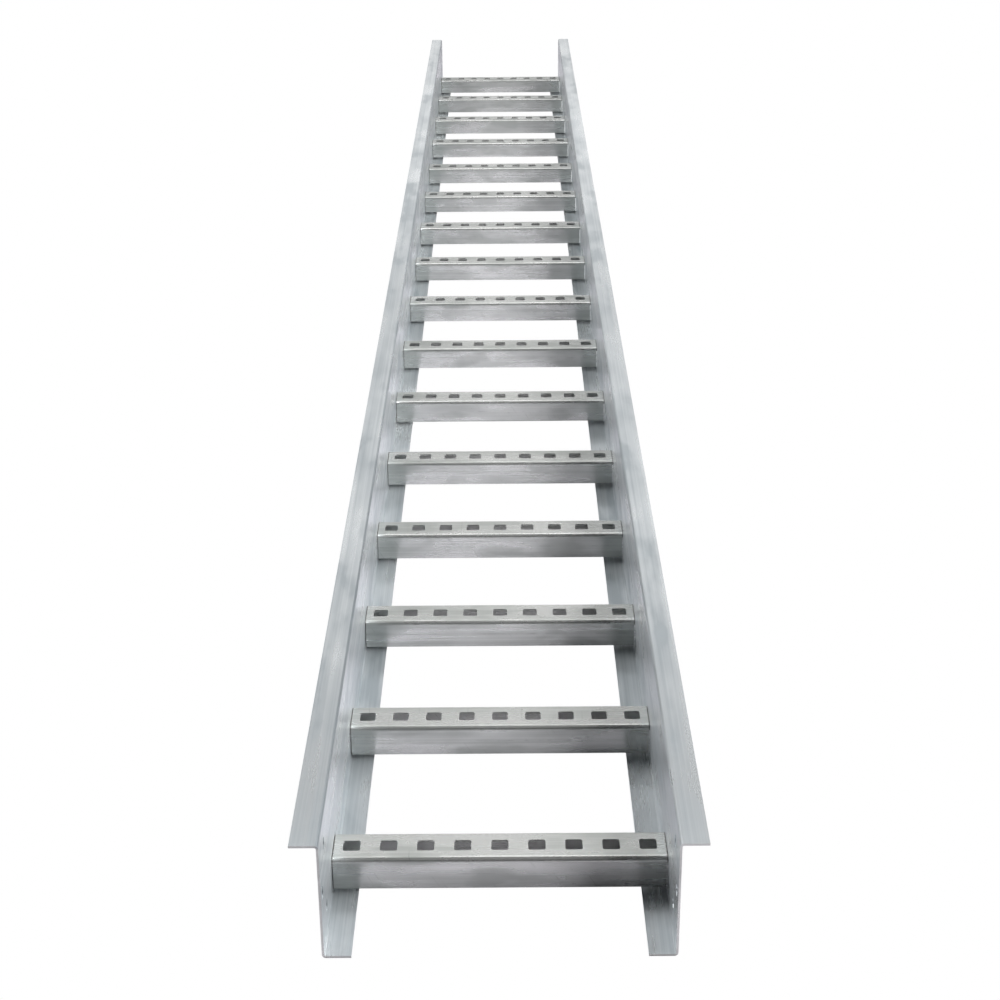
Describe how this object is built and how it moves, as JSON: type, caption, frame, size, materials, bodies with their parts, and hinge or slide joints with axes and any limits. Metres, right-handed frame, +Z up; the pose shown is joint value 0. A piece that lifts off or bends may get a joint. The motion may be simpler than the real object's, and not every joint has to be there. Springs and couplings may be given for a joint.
{
  "type": "cable ladder section",
  "caption": "Straight cable ladder section with Z-shaped side rails and slotted channel rungs, splice holes at both ends.",
  "frame": {"origin": "on the floor plane under the middle of the ladder, half way between the rails and between the ends", "axes": "+Y along the ladder, +X from the left rail to the right rail, +Z up from the bottom flanges to the top flanges"},
  "size_m": [0.3556, 3.6576, 0.116],
  "materials": {
    "rail_aluminium": "mill finish, satin, faint lengthwise draw lines",
    "rung_aluminium": "mill finish, satin, faint crosswise rolling lines and scratches"
  },
  "bodies": {
    "root": {"side_rail_left": "rail_aluminium", "side_rail_right": "rail_aluminium", "rung_01": "rung_aluminium", "rung_02": "rung_aluminium", "rung_03": "rung_aluminium", "rung_04": "rung_aluminium", "rung_05": "rung_aluminium", "rung_06": "rung_aluminium", "rung_07": "rung_aluminium", "rung_08": "rung_aluminium", "rung_09": "rung_aluminium", "rung_10": "rung_aluminium", "rung_11": "rung_aluminium", "rung_12": "rung_aluminium", "rung_13": "rung_aluminium", "rung_14": "rung_aluminium", "rung_15": "rung_aluminium", "rung_16": "rung_aluminium"}
  },
  "joints": []
}
